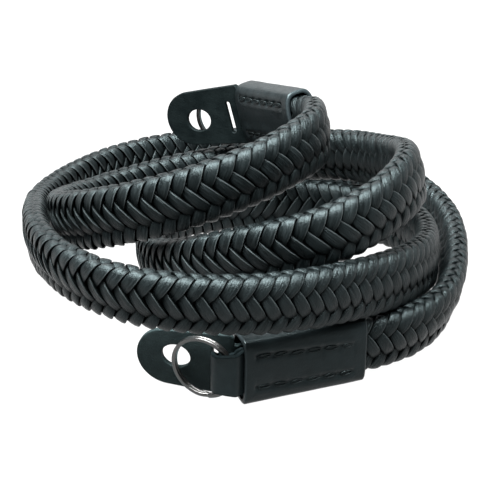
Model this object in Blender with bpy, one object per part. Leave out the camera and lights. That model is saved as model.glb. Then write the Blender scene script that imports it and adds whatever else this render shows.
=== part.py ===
"""A braided leather camera strap, coiled a little over three and a quarter turns on a table.

The strap is one flat oval braid that stands on its narrow edge. Each end is wrapped in a stitched
leather sleeve. Out of each sleeve come a folded leather tab that holds a split ring, and a leather
flap with a round hole that keeps the ring off the camera. Metres, +Z up, table top at Z = 0.
"""

import math

import bmesh
import bpy
import numpy as np
from mathutils import Matrix

# Strap
STRAP_WIDTH = 0.019
STRAP_THICKNESS = 0.0078
STRAP_SQUARENESS = 2.6
STRAP_SIDES = 16
STATION_SPACING = 0.0066

# Coil
COIL_REACH = 0.080
COIL_AXIS = (-0.0009, -0.0113)
ROW_ANGLE = 30.0
FIRST_ANGLE = -60.0
FRONT_MOUTH_ANGLE = -53.2
REAR_MOUTH_ANGLE = 1121.5
READING_ANGLE = 1.5

# One row each thirty degrees round the coil, against the clock seen from above:
# reach from the axis as a share of COIL_REACH, rise above the front end's level as a share of
# STRAP_WIDTH, and the outward lean of the top edge in degrees. The rear sleeve falls towards the
# rim of the turn at BELOW_ROW until its ring hangs just clear of it.
COIL = (
    (0.732, 0.60, 0), (0.827, 0.55, 11), (0.85, 0.52, 14), (0.965, 0.51, 9),
    (1.10, 0.51, 3), (1.19, 0.51, 0), (1.13, 0.56, 3), (0.97, 0.79, 0),
    (0.83, 1.36, 2), (0.86, 1.86, 8), (0.94, 2.03, 9), (0.89, 1.94, 4),
    (0.80, 1.73, -1), (0.755, 1.375, -3), (0.745, 0.95, -2), (0.76, 0.66, 4),
    (0.69, 0.53, 2), (0.58, 0.62, 0), (0.48, 0.81, 0), (0.42, 0.96, 0),
    (0.38, 1.06, 2), (0.41, 1.16, 4), (0.50, 1.52, 2), (0.61, 2.12, 4),
    (0.73, 2.64, 0), (0.71, 2.86, -14), (0.65, 2.47, -12), (0.68, 1.93, -10),
    (0.75, 1.48, -13), (0.77, 1.02, -8), (0.77, 0.83, 0), (0.76, 0.98, 3),
    (0.72, 1.52, 12), (0.64, 2.19, 6), (0.54, 2.75, 2), (0.45, 3.14, 0),
    (0.37, 3.31, -7), (0.32, 3.31, -8), (0.29, 3.17, -8), (0.326, 2.95, -8),
    (0.369, 2.70, -8),
)
BELOW_ROW = 29
HANG_CLEARANCE = 0.00454

# Sleeve, and how the strap ends inside it
GAP = 0.0003
SLEEVE_WALL = 0.0013
SLEEVE_SQUARENESS = 6.0
SLEEVE_SIDES = 28
SLEEVE_LENGTH = 0.0388
MOUTH_LEAD = 0.0010
STRAP_STOP = 0.0086
STRAIGHT_STATIONS = 4

# Flap
FLAP_LEATHER = 0.0018
FLAP_WIDTH = 0.0190
FLAP_ROOT_WIDTH = 0.0125
FLAP_LENGTH = 0.0306
FLAP_DEPTH = 0.0060
FLAP_SEAT = 0.0004
FLAP_SHIFT = -0.0015
FLAP_SHOULDER_WIDTH = 0.0210
FLAP_SHOULDER_SHIFT = -0.0005
HOLE_LENGTH = 0.0090
HOLE_HEIGHT = 0.0078
HOLE_FROM_TIP = 0.0123
HOLE_SHIFT = -0.0006
HOLE_SEGMENTS = 32
SLOT_LENGTH = 0.0112
SLOT_WIDTH = 0.0017
SLOT_FROM_SLEEVE = 0.0059
CUTTER_DEPTH = 0.0072

# Tab
TAB_LEATHER = 0.0012
TAB_DEPTH = 0.0075
TAB_WIDTH_AT_SLEEVE = 0.0148
TAB_WIDTH_AT_FOLD = 0.0130
TAB_SEAT = 0.0006
TAB_CLOSED = 0.0003

# Split ring: two turns of wire side by side, their middles TURN_PITCH of a wire apart
RING_DIAMETER = 0.0204
WIRE_ACROSS = 0.00125
WIRE_ALONG = 0.00105
TURN_PITCH = 0.9
LOBE_START = math.radians(-60)
LOBE_ARC = math.radians(300)
RING_SEGMENTS = 48
RING_SLACK = 0.0008
OPENING_LENGTH = 0.0024

# The flap and the tab run straight out of the sleeve, then turn in round one edge
BEND_START = 0.0005
BEND_CLEARANCE = 0.0010

# name, which end of the route, whether the end hangs, bends of the tab, of the ring in it and of
# the flap in degrees, how far out the ring's wire lies, its play inside the fold, and how far it
# has dropped there
ENDS = (
    ("front", -1, False, 38.0, 46.0, 38.0, 0.0019, 0.00255, 0.0005),
    ("rear", 1, True, 36.0, 44.0, 39.0, 0.0044, 0.00205, 0.0006),
)

# Steps round each bend, round the tab's fold, and round half of the flap's tip
BEND_STEPS = 6
FOLD_STEPS = 8
TIP_STEPS = 9
LOBE_STEPS = 6
SHARP_EDGE = math.radians(40)

# colour, roughness, metallic value
MATERIALS = {
    "braid": ((0.020, 0.023, 0.024), 0.42, 0.0),
    "sleeve": ((0.018, 0.021, 0.023), 0.45, 0.0),
    "tab": ((0.026, 0.030, 0.032), 0.50, 0.0),
    "flap": ((0.022, 0.026, 0.027), 0.60, 0.0),
    "ring": ((0.23, 0.22, 0.21), 0.28, 1.0),
}


def clear_scene():
    for obj in list(bpy.data.objects):
        bpy.data.objects.remove(obj, do_unlink=True)


def material(name):
    colour, roughness, metallic = MATERIALS[name]
    made = bpy.data.materials.get(name) or bpy.data.materials.new(name)
    made.use_nodes = True
    shader = made.node_tree.nodes["Principled BSDF"]
    shader.inputs["Base Color"].default_value = (*colour, 1.0)
    shader.inputs["Roughness"].default_value = roughness
    shader.inputs["Metallic"].default_value = metallic
    return made


def solid(name, points, faces, material_name, parent=None):
    """A named object from points and faces, its faces turned outwards."""
    mesh = bpy.data.meshes.new(name)
    mesh.from_pydata([tuple(point) for point in points], [], faces)
    work = bmesh.new()
    work.from_mesh(mesh)
    bmesh.ops.recalc_face_normals(work, faces=work.faces)
    work.to_mesh(mesh)
    work.free()
    mesh.shade_smooth()
    mesh.set_sharp_from_angle(angle=SHARP_EDGE)
    mesh.materials.append(material(material_name))
    obj = bpy.data.objects.new(name, mesh)
    bpy.context.scene.collection.objects.link(obj)
    obj.parent = parent
    return obj


def spline(rows, at):
    """Natural cubic through evenly spaced rows, read at row positions."""
    rows = np.asarray(rows, float)
    count = len(rows)
    left = np.zeros((count, count))
    right = np.zeros_like(rows)
    left[0, 0] = left[-1, -1] = 1.0
    for i in range(1, count - 1):
        left[i, i - 1:i + 2] = (1.0, 4.0, 1.0)
        right[i] = 6.0 * (rows[i - 1] - 2.0 * rows[i] + rows[i + 1])
    curve = np.linalg.solve(left, right)
    cell = np.clip(np.floor(at).astype(int), 0, count - 2)
    t = (at - cell)[:, None]
    s = 1.0 - t
    straight = s * rows[cell] + t * rows[cell + 1]
    return straight + ((s**3 - s) * curve[cell] + (t**3 - t) * curve[cell + 1]) / 6.0


def coil_points(angles):
    """Middle of the strap, and its lean, at these angles round the coil."""
    reach, rise, lean = spline(COIL, (angles - FIRST_ANGLE) / ROW_ANGLE).T
    turn = np.radians(angles)
    along_x = COIL_AXIS[0] + COIL_REACH * reach * np.cos(turn)
    along_y = COIL_AXIS[1] + COIL_REACH * reach * np.sin(turn)
    return np.stack([along_x, along_y, STRAP_WIDTH * rise], axis=1), np.radians(lean)


def evenly(points, lean, spacing):
    """The same line with its points an even distance apart."""
    steps = np.linalg.norm(np.diff(points, axis=0), axis=1)
    length = np.concatenate([[0.0], np.cumsum(steps)])
    count = int(round(length[-1] / spacing)) + 1
    at = np.linspace(0.0, length[-1], count)
    even = np.stack([np.interp(at, length, points[:, axis]) for axis in range(3)], axis=1)
    return even, np.interp(at, length, lean)


def frames(points, lean):
    """Direction of the outer face and of the upper edge at each point."""
    along = np.gradient(points, axis=0)
    along /= np.linalg.norm(along, axis=1)[:, None]
    out = np.cross(along, (0.0, 0.0, 1.0))
    out /= np.linalg.norm(out, axis=1)[:, None]
    up = np.cross(out, along)
    cos = np.cos(lean)[:, None]
    sin = np.sin(lean)[:, None]
    return out * cos - up * sin, up * cos + out * sin


def oval(thickness, width, squareness, count):
    """Points round a flat oval section: across its thickness, then across its width."""
    turn = np.linspace(0.0, 2.0 * math.pi, count, endpoint=False)
    power = 2.0 / squareness
    across = np.sign(np.cos(turn)) * np.abs(np.cos(turn)) ** power * thickness / 2
    high = np.sign(np.sin(turn)) * np.abs(np.sin(turn)) ** power * width / 2
    return np.stack([across, high], axis=1)


def sleeve_section(wall):
    """Outline of the sleeve this far outside the room that the strap fits in."""
    grown = 2 * (GAP + wall)
    return oval(STRAP_THICKNESS + grown, STRAP_WIDTH + grown, SLEEVE_SQUARENESS, SLEEVE_SIDES)


def ring_faces(rings, count, closed):
    """Quads between neighbouring rings of points, with flat ends on an open tube."""
    faces = []
    for i in range(rings if closed else rings - 1):
        here = i * count
        there = ((i + 1) % rings) * count
        for j in range(count):
            following = (j + 1) % count
            faces.append((here + j, here + following, there + following, there + j))
    if not closed:
        faces.append(tuple(reversed(range(count))))
        faces.append(tuple(range((rings - 1) * count, rings * count)))
    return faces


def hung_fall(mouth_rise):
    """Angle at which a hanging end falls from its sleeve's mouth."""
    rim = STRAP_WIDTH * (COIL[BELOW_ROW][1] + 0.5)
    level = rim + RING_DIAMETER / 2 + HANG_CLEARANCE
    return math.asin((mouth_rise - level) / (MOUTH_LEAD + SLEEVE_LENGTH))


def end_frame(mouth, inner, tilt, side, fall):
    """Matrix of a sleeve's outer end: X out along the strap, Y to the coil's outside."""
    heading = mouth - inner
    heading[2] = 0.0
    heading /= np.linalg.norm(heading)
    way = heading * math.cos(fall) - np.array([0.0, 0.0, math.sin(fall)])
    out = np.cross(way * side, (0.0, 0.0, 1.0))
    out /= np.linalg.norm(out)
    out = out * math.cos(tilt) - np.cross(out, way * side) * math.sin(tilt)
    matrix = np.eye(4)
    matrix[:3, 0] = way
    matrix[:3, 1] = out
    matrix[:3, 2] = np.cross(way, out)
    matrix[:3, 3] = mouth + way * (MOUTH_LEAD + SLEEVE_LENGTH)
    return matrix


def strap_route():
    """The strap's middle line and lean, and the matrix of each sleeve's outer end."""
    readings = round((REAR_MOUTH_ANGLE - FRONT_MOUTH_ANGLE) / READING_ANGLE)
    line, line_lean = coil_points(np.linspace(FRONT_MOUTH_ANGLE, REAR_MOUTH_ANGLE, readings + 1))
    points, lean = evenly(line, line_lean, STATION_SPACING)
    ends = {}
    runs = {}
    for name, side, hangs, *_ in ENDS:
        mouth, inner, tilt = (line[0], line[1], lean[0])
        if side > 0:
            mouth, inner, tilt = (line[-1], line[-2], lean[-1])
        fall = hung_fall(mouth[2]) if hangs else 0.0
        ends[name] = end_frame(mouth, inner, tilt, side, fall)
        way = ends[name][:3, 0]
        stop = ends[name][:3, 3] - way * STRAP_STOP
        runs[name] = np.linspace(mouth + way * MOUTH_LEAD, stop, STRAIGHT_STATIONS)
    points = np.vstack([runs["front"][::-1], points, runs["rear"]])
    lean = np.pad(lean, STRAIGHT_STATIONS, mode="edge")
    # The front sleeve rests on the table
    front = ends["front"]
    ground = front[2, 3] + (sleeve_section(SLEEVE_WALL) @ front[2, 1:3]).min()
    points[:, 2] -= ground
    for matrix in ends.values():
        matrix[2, 3] -= ground
    return points, lean, ends


def build_strap(points, lean):
    out, up = frames(points, lean)
    section = oval(STRAP_THICKNESS, STRAP_WIDTH, STRAP_SQUARENESS, STRAP_SIDES)
    axis = (*COIL_AXIS, 0.0)
    rings = points[:, None] + out[:, None] * section[:, :1] + up[:, None] * section[:, 1:]
    faces = ring_faces(len(points), STRAP_SIDES, closed=False)
    strap = solid("strap_braid", rings.reshape(-1, 3) - axis, faces, "braid")
    strap.location = axis


def build_end(name, matrix):
    """The empty that one end's pieces are placed from."""
    end = bpy.data.objects.new(f"{name}_end", None)
    end.matrix_world = Matrix(matrix.tolist())
    bpy.context.scene.collection.objects.link(end)
    return end


def build_sleeve(end, name):
    """A wrap of leather round the strap's end: an open oval tube."""
    inner = sleeve_section(0.0)
    outer = sleeve_section(SLEEVE_WALL)
    points = []
    rims = ((outer, 0.0), (outer, -SLEEVE_LENGTH), (inner, -SLEEVE_LENGTH), (inner, 0.0))
    for section, along in rims:
        points += [(along, across, high) for across, high in section]
    solid(f"{name}_sleeve", points, ring_faces(4, SLEEVE_SIDES, closed=True), "sleeve", end)


def loop_gap():
    """Room between the tab's two layers, for both turns of the ring."""
    return WIRE_ALONG * (1 + TURN_PITCH) + 2 * RING_SLACK


def stack():
    """Across the sleeve: the flap's middle, the tab's middle and the edge that both turn round."""
    inside = STRAP_THICKNESS / 2 + GAP
    flap = FLAP_SEAT + FLAP_LEATHER / 2 - inside
    tab = inside - TAB_SEAT - TAB_LEATHER - TAB_CLOSED / 2
    return flap, tab, flap - FLAP_LEATHER / 2 - BEND_CLEARANCE


def bent(reach, offset, middle, edge, angle):
    """Where a point of a flat strip lies once the strip has turned round the edge."""
    radius = middle - edge
    past = reach - BEND_START
    turned = min(max(past / radius, 0.0), angle)
    beyond = max(past - radius * angle, 0.0)
    arm = radius + offset
    along = BEND_START + min(past, 0.0) + math.sin(turned) * arm + math.cos(turned) * beyond
    across = edge + math.cos(turned) * arm - math.sin(turned) * beyond
    return along, across


def ring_bow():
    """How far the ring curves out over the width of the fold."""
    return RING_DIAMETER / 2 - math.sqrt(RING_DIAMETER**2 - TAB_WIDTH_AT_FOLD**2) / 2


def build_tab(end, name, angle, ring_start, play):
    """One strip of leather folded back on itself, open where the ring passes through the fold."""
    _, middle, edge = stack()
    room = loop_gap() / 2
    fold = ring_start + ring_bow() + WIRE_ACROSS + play - room
    straight = [-TAB_DEPTH]
    straight += [BEND_START + (middle - edge) * angle * step / BEND_STEPS for step in range(BEND_STEPS)]
    straight.append(fold)

    def side(layer):
        line = []
        for reach in straight:
            share = min(max(reach / OPENING_LENGTH, 0.0), 1.0)
            opened = share * share * (3 - 2 * share)
            line.append((reach, TAB_CLOSED / 2 * (1 - opened) + room * opened + layer))
        half = room + layer
        turned = []
        for step in range(1, FOLD_STEPS):
            turn = math.pi / 2 - math.pi * step / FOLD_STEPS
            turned.append((fold + half * math.cos(turn), half * math.sin(turn)))
        return line + turned + [(reach, -offset) for reach, offset in reversed(line)]

    profile = side(TAB_LEATHER) + side(0.0)[::-1]
    count = len(profile)
    points = []
    for sign in (1, -1):
        for reach, offset in profile:
            share = min(max(reach / fold, 0.0), 1.0)
            width = TAB_WIDTH_AT_SLEEVE + share * (TAB_WIDTH_AT_FOLD - TAB_WIDTH_AT_SLEEVE)
            along, across = bent(reach, offset, middle, edge, angle)
            points.append((along, across, sign * width / 2))
    faces = []
    for j in range(count):
        following = (j + 1) % count
        faces.append((j, following, count + following, count + j))
    for j in range(count // 2 - 1):
        quad = (j, j + 1, count - 2 - j, count - 1 - j)
        faces.append(quad)
        faces.append(tuple(count + corner for corner in reversed(quad)))
    solid(f"{name}_tab", points, faces, "tab", end)


def cut(flap, name, shape, reach, shift, angle):
    """Takes a shape out of the flat part of the flap at this reach and this far off its middle."""
    middle, _, edge = stack()
    mesh = bpy.data.meshes.new(name)
    shape.to_mesh(mesh)
    shape.free()
    tool = bpy.data.objects.new(name, mesh)
    bpy.context.scene.collection.objects.link(tool)
    tool.parent = flap.parent
    tool.location = (*bent(reach, 0.0, middle, edge, angle), shift)
    tool.rotation_euler = (0.0, 0.0, -angle)
    tool.hide_render = True
    tool.display_type = "WIRE"
    boolean = flap.modifiers.new(name, "BOOLEAN")
    boolean.operation = "DIFFERENCE"
    boolean.object = tool


def build_flap(end, name, angle):
    """A round-ended leather flap with a hole for the camera's lug and a slot beside the sleeve."""
    middle, _, edge = stack()
    tip_radius = FLAP_WIDTH / 2
    round_start = FLAP_LENGTH - tip_radius
    rows = [(-FLAP_DEPTH, FLAP_ROOT_WIDTH, 0.0), (BEND_START, FLAP_ROOT_WIDTH, 0.0)]
    for step in range(1, BEND_STEPS + 1):
        turned = (middle - edge) * angle * step / BEND_STEPS
        rows.append((BEND_START + turned, FLAP_SHOULDER_WIDTH, FLAP_SHOULDER_SHIFT))
    for step in range(TIP_STEPS):
        turn = math.pi / 2 * step / TIP_STEPS
        reach = round_start + tip_radius * math.sin(turn)
        rows.append((reach, FLAP_WIDTH * math.cos(turn), FLAP_SHIFT))
    points = []
    for reach, width, shift in rows:
        for face, sign in ((1, 1), (-1, 1), (-1, -1), (1, -1)):
            along, across = bent(reach, face * FLAP_LEATHER / 2, middle, edge, angle)
            points.append((along, across, shift + sign * width / 2))
    flap = solid(f"{name}_flap", points, ring_faces(len(rows), 4, closed=False), "flap", end)

    hole = bmesh.new()
    bmesh.ops.create_cone(
        hole, cap_ends=True, segments=HOLE_SEGMENTS, depth=CUTTER_DEPTH,
        radius1=HOLE_LENGTH / 2, radius2=HOLE_LENGTH / 2,
        matrix=Matrix.Rotation(math.pi / 2, 4, "X"),
    )
    bmesh.ops.scale(hole, vec=(1.0, 1.0, HOLE_HEIGHT / HOLE_LENGTH), verts=hole.verts)
    cut(flap, f"{name}_hole_cutter", hole, FLAP_LENGTH - HOLE_FROM_TIP, HOLE_SHIFT, angle)
    slot = bmesh.new()
    size = Matrix.Diagonal((SLOT_WIDTH, CUTTER_DEPTH, SLOT_LENGTH, 1.0))
    bmesh.ops.create_cube(slot, size=1.0, matrix=size)
    cut(flap, f"{name}_slot_cutter", slot, SLOT_FROM_SLEEVE, 0.0, angle)


def build_ring(end, name, tab_angle, angle, ring_start, drop):
    """Two turns of wire as one closed ring with a groove between the turns."""
    _, middle, edge = stack()
    lobe = []
    for step in range(LOBE_STEPS + 1):
        turn = LOBE_START + LOBE_ARC * step / LOBE_STEPS
        off_middle = WIRE_ALONG / 2 * (math.sin(turn) + TURN_PITCH)
        lobe.append((WIRE_ACROSS / 2 * math.cos(turn), off_middle))
    profile = lobe + [(swing, -shift) for swing, shift in reversed(lobe)]
    points = []
    for segment in range(RING_SEGMENTS):
        turn = 2 * math.pi * segment / RING_SEGMENTS
        for swing, shift in profile:
            radius = (RING_DIAMETER - WIRE_ACROSS) / 2 + swing
            points.append((radius * math.cos(turn), shift, radius * math.sin(turn)))
    faces = ring_faces(RING_SEGMENTS, len(profile), closed=True)
    ring = solid(f"{name}_ring", points, faces, "ring", end)
    # The ring hangs from the middle of its part inside the fold
    held = (ring_bow() + WIRE_ACROSS) / 2
    along, across = bent(ring_start + held, 0.0, middle, edge, tab_angle)
    arm = RING_DIAMETER / 2 - held
    ring.location = (along + arm * math.cos(angle), across - arm * math.sin(angle), drop)
    ring.rotation_euler = (0.0, 0.0, -angle)


def main():
    clear_scene()
    points, lean, ends = strap_route()
    build_strap(points, lean)
    for name, side, _, tab_bend, ring_bend, flap_bend, ring_start, play, drop in ENDS:
        end = build_end(name, ends[name])
        tab_angle = math.radians(tab_bend)
        build_sleeve(end, name)
        build_tab(end, name, tab_angle, ring_start, play)
        build_flap(end, name, math.radians(flap_bend))
        build_ring(end, name, tab_angle, math.radians(ring_bend), ring_start, drop * side)
    bpy.context.view_layer.update()


main()
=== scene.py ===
"""Looks of a braided leather camera strap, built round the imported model.

Metres, +Z up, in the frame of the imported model. The strap's route and the places of the pieces at
its two ends repeat the tables and functions that the solids were made with.
"""

import math

import bmesh
import bpy
import numpy as np
from mathutils import Matrix, Vector


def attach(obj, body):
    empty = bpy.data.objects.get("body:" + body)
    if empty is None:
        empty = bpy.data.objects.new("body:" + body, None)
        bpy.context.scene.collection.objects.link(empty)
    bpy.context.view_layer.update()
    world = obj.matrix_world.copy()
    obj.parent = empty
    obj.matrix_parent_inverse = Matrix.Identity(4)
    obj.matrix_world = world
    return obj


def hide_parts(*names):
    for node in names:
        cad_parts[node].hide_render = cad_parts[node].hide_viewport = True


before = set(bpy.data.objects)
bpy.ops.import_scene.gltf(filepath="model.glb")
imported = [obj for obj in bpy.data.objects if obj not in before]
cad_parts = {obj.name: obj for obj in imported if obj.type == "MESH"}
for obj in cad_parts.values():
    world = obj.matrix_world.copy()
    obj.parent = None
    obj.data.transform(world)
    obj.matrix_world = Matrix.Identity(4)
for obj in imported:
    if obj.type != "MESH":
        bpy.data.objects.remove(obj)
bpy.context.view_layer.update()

# Strap
STRAP_WIDTH = 0.019
STRAP_THICKNESS = 0.0078
STRAP_SQUARENESS = 2.6

# Coil
COIL_REACH = 0.080
COIL_AXIS = (-0.0009, -0.0113)
ROW_ANGLE = 30.0
FIRST_ANGLE = -60.0
FRONT_MOUTH_ANGLE = -53.2
REAR_MOUTH_ANGLE = 1121.5
READING_ANGLE = 1.5
FINE_READINGS = 5

# reach from the axis as a share of COIL_REACH, rise as a share of STRAP_WIDTH, outward lean. These
# rows weren't chosen by hand: a program fitted them to the outlines in the photo, and 68 of the 123
# numbers were changed after it. The rear sleeve falls towards the rim of the turn at BELOW_ROW
# until its ring hangs clear of it.
COIL = (
    (0.732, 0.60, 0), (0.827, 0.55, 11), (0.85, 0.52, 14), (0.965, 0.51, 9),
    (1.10, 0.51, 3), (1.19, 0.51, 0), (1.13, 0.56, 3), (0.97, 0.79, 0),
    (0.83, 1.36, 2), (0.86, 1.86, 8), (0.94, 2.03, 9), (0.89, 1.94, 4),
    (0.80, 1.73, -1), (0.755, 1.375, -3), (0.745, 0.95, -2), (0.76, 0.66, 4),
    (0.69, 0.53, 2), (0.58, 0.62, 0), (0.48, 0.81, 0), (0.42, 0.96, 0),
    (0.38, 1.06, 2), (0.41, 1.16, 4), (0.50, 1.52, 2), (0.61, 2.12, 4),
    (0.73, 2.64, 0), (0.71, 2.86, -14), (0.65, 2.47, -12), (0.68, 1.93, -10),
    (0.75, 1.48, -13), (0.77, 1.02, -8), (0.77, 0.83, 0), (0.76, 0.98, 3),
    (0.72, 1.52, 12), (0.64, 2.19, 6), (0.54, 2.75, 2), (0.45, 3.14, 0),
    (0.37, 3.31, -7), (0.32, 3.31, -8), (0.29, 3.17, -8), (0.326, 2.95, -8),
    (0.369, 2.70, -8),
)
BELOW_ROW = 29
HANG_CLEARANCE = 0.00454

# Sleeve, and how the strap ends inside it
GAP = 0.0003
SLEEVE_WALL = 0.0013
SLEEVE_SQUARENESS = 6.0
LOOK_SQUARENESS = {"front": 5.2, "rear": 3.4}
SLEEVE_SIDES = 168
SLEEVE_STATIONS = 130
SLEEVE_LENGTH = 0.0388
MOUTH_LEAD = 0.0010
STRAP_STOP = 0.0086

# Relief of a sleeve: its rolled rims with a painted highlight on them, soft dents, and the groove and
# puffs along its stitches
RIM_ROLL = 0.00035
RIM_ROLL_LENGTH = 0.0005
RIM_HIGHLIGHT_WIDTH = 0.0006
DENT_DEPTH = 0.00007
DENTS_FADE = 0.004
SEAM_DEPTH = 0.00034
SEAM_WIDTH = 0.00105
NEEDLE_DEPTH = 0.00030
NEEDLE_WIDTH = 0.0007
PUFF_HEIGHT = 0.00010
PUFF_FROM_SEAM = 0.0020
PUFF_WIDTH = 0.0010
SEAM_AHEAD = 0.0008
SEAM_BEYOND = 0.0004
SEAM_FADE = 0.0012

# The flap and the tab run straight out of the sleeve, then turn in round one edge
BEND_START = 0.0005
BEND_CLEARANCE = 0.0010

# Flap
FLAP_LEATHER = 0.0018
FLAP_WIDTH = 0.0190
FLAP_ROOT_WIDTH = 0.0125
FLAP_LENGTH = 0.0306
FLAP_DEPTH = 0.0060
FLAP_SEAT = 0.0004
FLAP_SHIFT = -0.0015
FLAP_SHOULDER_WIDTH = 0.0210
FLAP_SHOULDER_SHIFT = -0.0005
HOLE_LENGTH = 0.0090
HOLE_HEIGHT = 0.0078
HOLE_FROM_TIP = 0.0123
HOLE_SHIFT = -0.0006
SLOT_LENGTH = 0.0112
SLOT_WIDTH = 0.0017
SLOT_FROM_SLEEVE = 0.0059
SHOULDER_FROM_BEND = 0.0006
SHOULDER_RUN = 0.0004
SHOULDER_CHAMFER = 0.0007
TIP_STEPS = 32
HOLE_STEPS = 56
SLOT_STEPS = 32
FLAP_ROUNDING = 0.00030
FLAP_WAVE = 0.00010
# start, spacing and number of cuts across the flap at its bend, beyond it, and along it
FLAP_CUTS = ((BEND_START, 0.00025, 8), (0.0028, 0.0016, 18), (-0.0085, 0.0017, 11))

# Tab
TAB_LEATHER = 0.0012
TAB_DEPTH = 0.0075
TAB_WIDTH_AT_SLEEVE = 0.0148
TAB_WIDTH_AT_FOLD = 0.0130
TAB_SEAT = 0.0006
TAB_CLOSED = 0.0003
TAB_COLUMNS = 25
TAB_FOLD_STEPS = 20
TAB_ROUNDING = 0.00028
TAB_WAVE = 0.00006
# How much, and over which lengths, the front layer fills out where it leaves the sleeve, the strip
# rises there, and the upper edge of the back layer drops out of sight
TAB_FILL = 0.0003
TAB_FILL_RISE = 0.0004
TAB_FILL_FALL = 0.0045
TAB_RISE = 0.0003
TAB_RISE_RUN = 0.004
TAB_RISE_TO = 0.003
TAB_RISE_FALL = 0.005
TAB_BACK_DROP = 0.0022
TAB_BACK_RUN = 0.002

# Split ring
RING_DIAMETER = 0.0204
WIRE_ACROSS = 0.00125
WIRE_ALONG = 0.00105
TURN_PITCH = 0.9
RING_SLACK = 0.0008
OPENING_LENGTH = 0.0024
RING_STEP_ANGLE = 1.75
RING_STEP_SHARE = 0.06
RING_SEGMENTS = 240
WIRE_SIDES = 16
WIRE_SQUARENESS = 3.4
WIRE_FILLING = 0.96
WIRE_TIP = 0.004
WIRE_TIP_TAPER = 0.35

# name, which end of the route, whether the end hangs, bends of the tab, of the ring in it and of
# the flap in degrees, how far out the ring's wire lies, its play inside the fold, and how far it
# has dropped there
ENDS = (
    ("front", -1, False, 38.0, 46.0, 38.0, 0.0019, 0.00255, 0.0005),
    ("rear", 1, True, 36.0, 44.0, 39.0, 0.0044, 0.00205, 0.0006),
)

# Braid: strands each way, length of one turn of a strand, and the strip's own sizes
STRANDS = 6
BRAID_PITCH = 0.0268
STRIP_COVER = 0.97
STRIP_NARROWING = 0.20
STRIP_THICKNESS = 0.00112
STRIP_TILT = 0.00030
STRIP_BULGE = 0.00026
STEPS_PER_CROSSING = 5
PLATEAU = 1.4
# across as a share of half the width, height as a share of the thickness
STRIP_PROFILE = (
    (-1.0, -0.45), (-1.0, 0.14), (-0.95, 0.33), (-0.80, 0.44), (-0.38, 0.52),
    (0.38, 0.52), (0.80, 0.44), (0.95, 0.33), (1.0, 0.14), (1.0, -0.45),
)
LINE_STEP = 0.0005
SECTION_STEPS = 2880
NORMAL_STEPS = 1440
NORMAL_BLUR = 61
UNEVEN_STEPS = 2000
UNEVEN_CROSSINGS = 4
UNEVEN_SHIFT = 31.3
UNEVEN_HEIGHT = 0.00005
UNEVEN_TILT = 0.35
DRAWN_IN = 0.97
DRAWN_IN_OVER = 0.014
STRAND_INSIDE = 0.006
CORE_STATIONS = 420
CORE_SIDES = 24
CORE_DEPTH = 1.45
# Where across a strip the painted shade of the grooves and the painted highlight of the raised edge lie
GROOVE_FROM = 0.74
LINE_FROM = 0.78
LINE_FULL = 0.88
LINE_TO = 0.96

# Stitches, and the height of each row at the outer end and at the mouth
STITCHES = 6
STITCH_SEED = 41
STITCH_STATIONS = 13
THREAD_SIDES = 8
STITCH_FROM_END = 0.0033
STITCH_PITCH = 0.0053
STITCH_LENGTH = 0.0043
THREAD = 0.00046
EYE_HEIGHT = 0.00062
STITCH_ROWS = {
    "front": ((0.0064, 0.0032), (-0.0046, -0.0062)),
    "rear": ((-0.0072, -0.0072), (0.0055, 0.0045)),
}

# Leathers: dark tone, pale tone, roughness, grain, depth of the grain, gloss. The two flaps are one
# leather: the front flap's paler tones are painted light, the rear flap's darker ones painted shade.
# Their tones differ only so that each matches the photo under these lamps.
SMOOTH_LEATHERS = {
    "sleeve_leather": ((0.0010, 0.0016, 0.0018), (0.0026, 0.0038, 0.0042), 0.34, 3.2, 0.60, 0.15),
    "tab_leather": ((0.0024, 0.0038, 0.0042), (0.0046, 0.0068, 0.0074), 0.44, 4.0, 0.60, 0.13),
    "front_flap_leather": ((0.0056, 0.0088, 0.0091), (0.0086, 0.0130, 0.0134), 0.50, 4.5, 0.75, 0.06),
    "rear_flap_leather": ((0.0009, 0.0015, 0.0016), (0.0019, 0.0029, 0.0030), 0.50, 4.5, 0.75, 0.035),
}
BRAID_DARK = (0.0006, 0.0009, 0.0010)
BRAID_PALE = (0.0018, 0.0026, 0.0028)
BRAID_STREAK = (0.0055, 0.0072, 0.0076)
# Painted shade in the braid's grooves, and a painted highlight on its raised edges
BRAID_GROOVE_SHADE = (0.0003, 0.0004, 0.0004)
BRAID_EDGE_HIGHLIGHT = (0.030, 0.036, 0.037)
# Painted highlight along the rims of a sleeve
RIM_HIGHLIGHT_TONE = (0.016, 0.021, 0.023)
SHEEN_TINT = (0.76, 0.97, 1.0, 1.0)
CUT_EDGE_GLOSS = 0.01
PLAIN_GLOSS = 0.12

# Camera: the same program fitted its slant, focal length and middle, at a distance chosen before
PICTURE = 502
CAMERA_SENSOR = 36.0
CAMERA_PLACE = (0.0041, -0.5165, 0.2777)
CAMERA_DOWN = 27.404
CAMERA_FOCAL = 1753.21
CAMERA_MIDDLE = (258.21, 254.53)

# Floor, surroundings and lamps
FLOOR_REACH = 6
FLOOR_TONE = (0.02, 0.02, 0.02, 1.0)
TABLE_GLOW = 1.0
WORLD_FRONT = 0.04
WORLD_BACK = 0.6
WORLD_BACK_FROM = 0.35
WORLD_TONE = (0.93, 0.985, 1.0, 1.0)
LAMP_TARGET = (0, 0, 0.03)
LAMP_HEIGHT = 0.5
WHITE = (1.0, 1.0, 1.0)
COOL = (0.93, 0.99, 1.0)
# name, place, width, power and colour, all of one height and aimed at one point
LAMPS = (
    ("top", (-0.12, -0.20, 0.85), 0.8, 150.0, WHITE),
    ("back", (-0.10, 1.00, 0.55), 1.2, 7.0, WHITE),
    ("left", (-0.9, -0.05, 0.30), 0.5, 1.6, COOL),
    ("right", (0.9, -0.05, 0.30), 0.5, 1.6, COOL),
)


def clamped(share):
    return min(max(share, 0.0), 1.0)


def eased(share):
    return share * share * (3 - 2 * share)


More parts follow.
